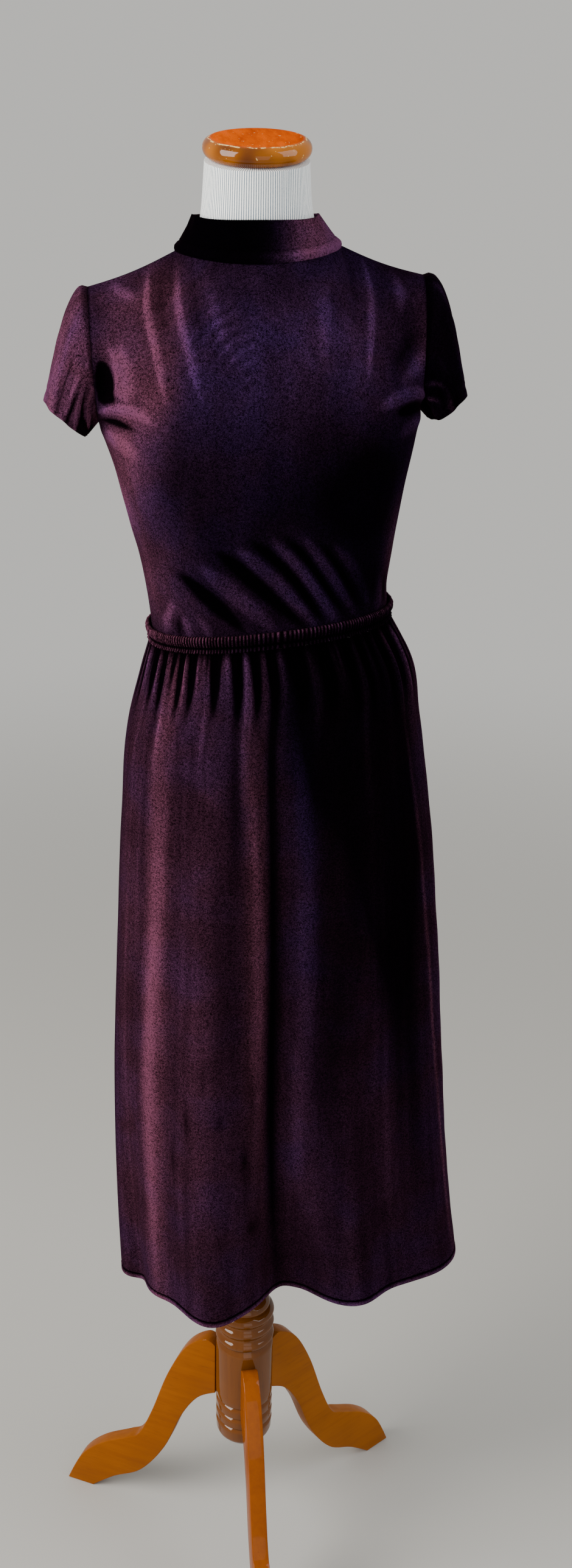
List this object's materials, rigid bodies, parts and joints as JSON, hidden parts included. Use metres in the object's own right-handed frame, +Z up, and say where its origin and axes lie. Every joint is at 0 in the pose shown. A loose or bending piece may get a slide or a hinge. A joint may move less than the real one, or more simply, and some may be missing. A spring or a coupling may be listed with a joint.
{
  "type": "velvet dress on a limbless dress form with a tripod stand",
  "caption": "Mid-calf velvet dress with a stand-up collar, cap sleeves and an elastic waist, hung on a limbless dress form on a wooden tripod stand.",
  "frame": {"origin": "centre of the bounding box, on the floor the legs stand on", "axes": "+Z up; the dress faces -Y; +X is the viewer's right, which is the wearer's left"},
  "size_m": [0.5022, 0.4078, 1.7474],
  "materials": {
    "velvet": "very dark plum stretch velvet with a short shining nap",
    "jersey": "white jersey with fine blue-grey stripes, stretched over the form",
    "varnished_wood": "amber stained wood under glossy varnish"
  },
  "bodies": {
    "root": {"bodice_front": "velvet", "bodice_back": "velvet", "collar": "velvet", "sleeve_left": "velvet", "sleeve_right": "velvet", "waist_casing": "velvet", "skirt_front": "velvet", "skirt_back": "velvet", "form_torso": "jersey", "neck_cap": "varnished_wood", "stand_pole": "varnished_wood", "stand_column": "varnished_wood", "leg_front": "varnished_wood", "leg_left": "varnished_wood", "leg_right": "varnished_wood"}
  },
  "joints": []
}
